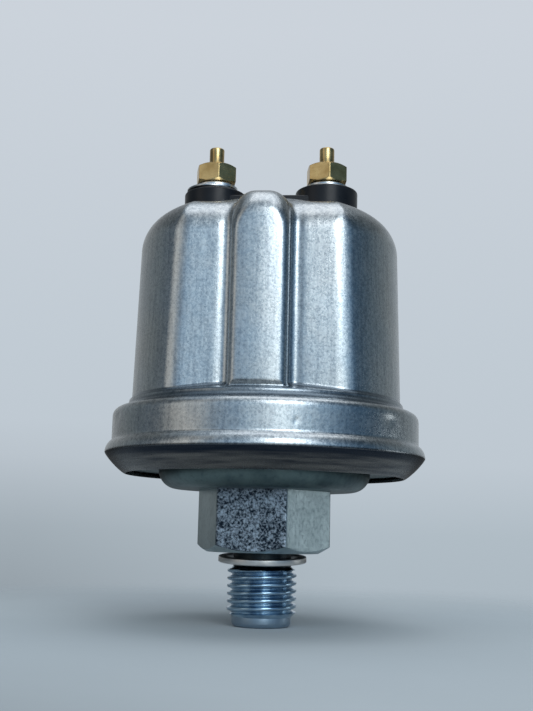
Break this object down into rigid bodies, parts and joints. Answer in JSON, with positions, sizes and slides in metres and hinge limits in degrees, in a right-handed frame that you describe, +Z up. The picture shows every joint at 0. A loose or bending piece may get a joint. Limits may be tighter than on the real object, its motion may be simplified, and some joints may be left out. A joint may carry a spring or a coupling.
{
  "type": "oil pressure sender",
  "caption": "Engine oil pressure sender: threaded hexagon port, crimped aluminium can with a pressed rib, and stud terminals on a black moulding.",
  "frame": {"origin": "centre of the thread's free end, on the sender's axis", "axes": "+Z up the axis from the thread to the terminals, -Y out of the can's rib, X through both terminals"},
  "size_m": [0.0656, 0.0656, 0.1009],
  "materials": {
    "zinc": "zinc plated steel, dull grey-green passivation",
    "brass": "bright turned brass",
    "bare_aluminium": "soft aluminium ring, satin",
    "can_aluminium": "drawn aluminium, satin with fine grain",
    "gasket_board": "dark fibre and rubber gasket",
    "spring_bronze": "phosphor bronze spring sheet",
    "steel": "bright steel",
    "silver": "silver contact",
    "card_board": "brown laminated card",
    "resistance_wire": "oxidised resistance wire",
    "moulding": "dark phenolic moulding",
    "black_moulding": "black moulding, soft sheen",
    "rubber": "black rubber"
  },
  "bodies": {
    "housing": {"port_fitting": "zinc", "inlet_restrictor": "brass", "seal_ring": "bare_aluminium", "base_plate": "zinc", "can": "can_aluminium", "crimp_gasket": "gasket_board", "diaphragm": "spring_bronze", "clamp_ring": "zinc", "carrier_plate": "zinc", "guide_bush": "brass", "return_spring": "steel", "pivot_bracket": "zinc", "pivot_axle": "steel", "resistor_card": "card_board", "resistance_winding": "resistance_wire", "card_holder": "moulding", "card_rivets": "brass", "bracket_screws": "steel", "holder_screws": "steel", "terminal_plate": "black_moulding", "terminal_gasket": "rubber", "lead_strip": "brass", "warning_contact_strip": "brass", "stud_left": "brass", "washer_left": "zinc", "lock_washer_left": "steel", "nut_left": "brass", "stud_right": "brass", "washer_right": "zinc", "lock_washer_right": "steel", "nut_right": "brass"},
    "pusher": {"pressure_plate": "steel", "push_pin": "steel"},
    "rocker": {"rocker": "zinc", "adjusting_screw": "brass", "wiper_strip": "spring_bronze", "wiper_contact": "silver"}
  },
  "joints": [
    {"name": "pusher_slide", "type": "slide", "parent": "housing", "child": "pusher", "axis": [0, 0, 1], "range_m": [0, 0.001], "stiffness_N_per_m": 300, "springref_m": -0.002, "deforming": ["return_spring", "diaphragm"]},
    {"name": "rocker_pivot", "type": "hinge", "parent": "housing", "child": "rocker", "pos_m": [-0.005, 0, 0.04609], "axis": [0, -1, 0], "range_deg": [0, 11.5]}
  ],
  "couplings": [
    {"joint": "rocker_pivot", "follows": "pusher_slide", "rad_per_m": 200}
  ]
}
